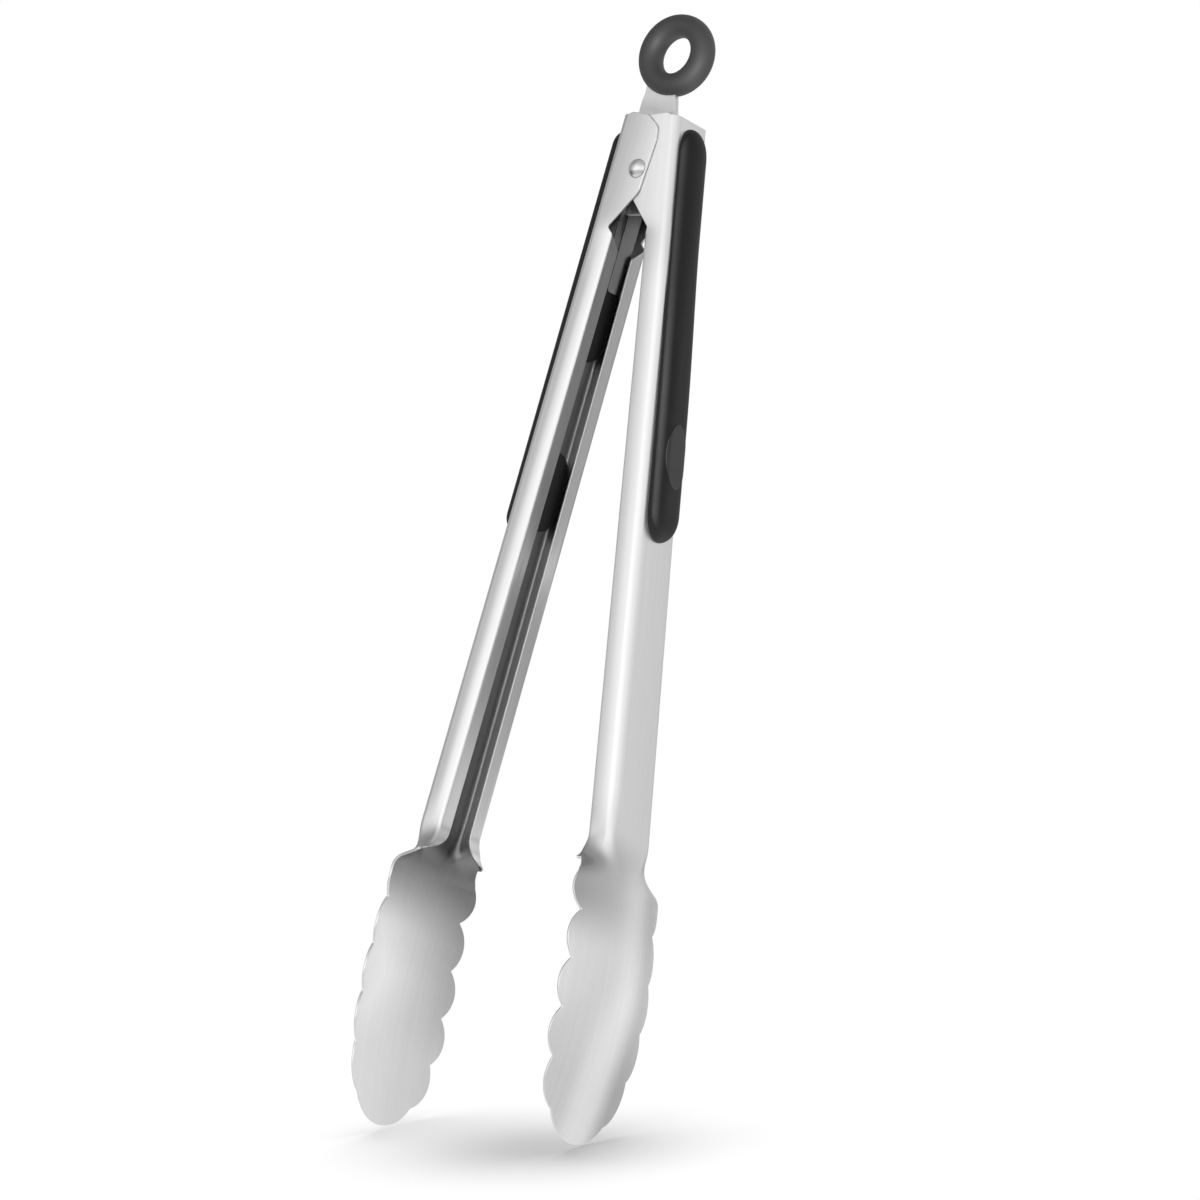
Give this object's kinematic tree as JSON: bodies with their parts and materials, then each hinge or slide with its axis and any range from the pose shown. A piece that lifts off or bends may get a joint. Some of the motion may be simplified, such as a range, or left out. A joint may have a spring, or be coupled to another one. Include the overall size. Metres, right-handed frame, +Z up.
{
  "type": "spring loaded kitchen tongs",
  "caption": "Locking kitchen tongs with two sprung channel arms, scalloped spoon heads, soft grips and a pull ring that hangs them up.",
  "frame": {"origin": "centre of the hole of the hanging ring, in the middle of the tongs", "axes": "+Z up along the tongs towards the top of the ring, +Y along the pivot rivet, +X towards the inner arm; arms open at rest"},
  "size_m": [0.0795, 0.0458, 0.3432],
  "materials": {
    "brushed_stainless": "fine lengthwise brushed grain, satin",
    "lock_stainless": "satin, cut edges bright",
    "rivet_steel": "satin domed head",
    "spring_steel": "spring strip, dull satin",
    "soft_black": "soft satin black",
    "ring_black": "soft satin black",
    "inlay_black": "matte, bare",
    "anchor_black": "moulded matte"
  },
  "bodies": {
    "lock_slider": {"lock_plate": "lock_stainless", "hang_ring": "ring_black"},
    "hinge_core": {"pivot_rivet": "rivet_steel", "near_sleeve": "rivet_steel", "far_sleeve": "rivet_steel", "near_spring": "spring_steel", "far_spring": "spring_steel"},
    "inner_arm": {"inner_arm": "brushed_stainless", "inner_grip": "soft_black", "inner_grip_inlay": "inlay_black", "inner_upper_anchor": "anchor_black", "inner_lower_anchor": "anchor_black"},
    "outer_arm": {"outer_arm": "brushed_stainless", "outer_grip": "soft_black", "outer_grip_inlay": "inlay_black", "outer_upper_anchor": "anchor_black", "outer_lower_anchor": "anchor_black"}
  },
  "joints": [
    {"name": "lock_slide", "type": "slide", "parent": "lock_slider", "child": "hinge_core", "axis": [0, 0, -1], "range_m": [0, 0.008]},
    {"name": "inner_arm_hinge", "type": "hinge", "parent": "hinge_core", "child": "inner_arm", "pos_m": [0, 0, -0.0383], "axis": [0, 1, 0], "range_deg": [0, 6.6], "stiffness_Nm_per_rad": 0.8, "springref_deg": -20.05, "deforming": ["near_spring", "far_spring"]},
    {"name": "outer_arm_hinge", "type": "hinge", "parent": "hinge_core", "child": "outer_arm", "pos_m": [0, 0, -0.0383], "axis": [0, -1, 0], "range_deg": [0, 6.6], "stiffness_Nm_per_rad": 0.8, "springref_deg": -20.05, "deforming": ["near_spring", "far_spring"]}
  ],
  "couplings": [
    {"joint": "outer_arm_hinge", "follows": "inner_arm_hinge", "ratio": 1}
  ]
}
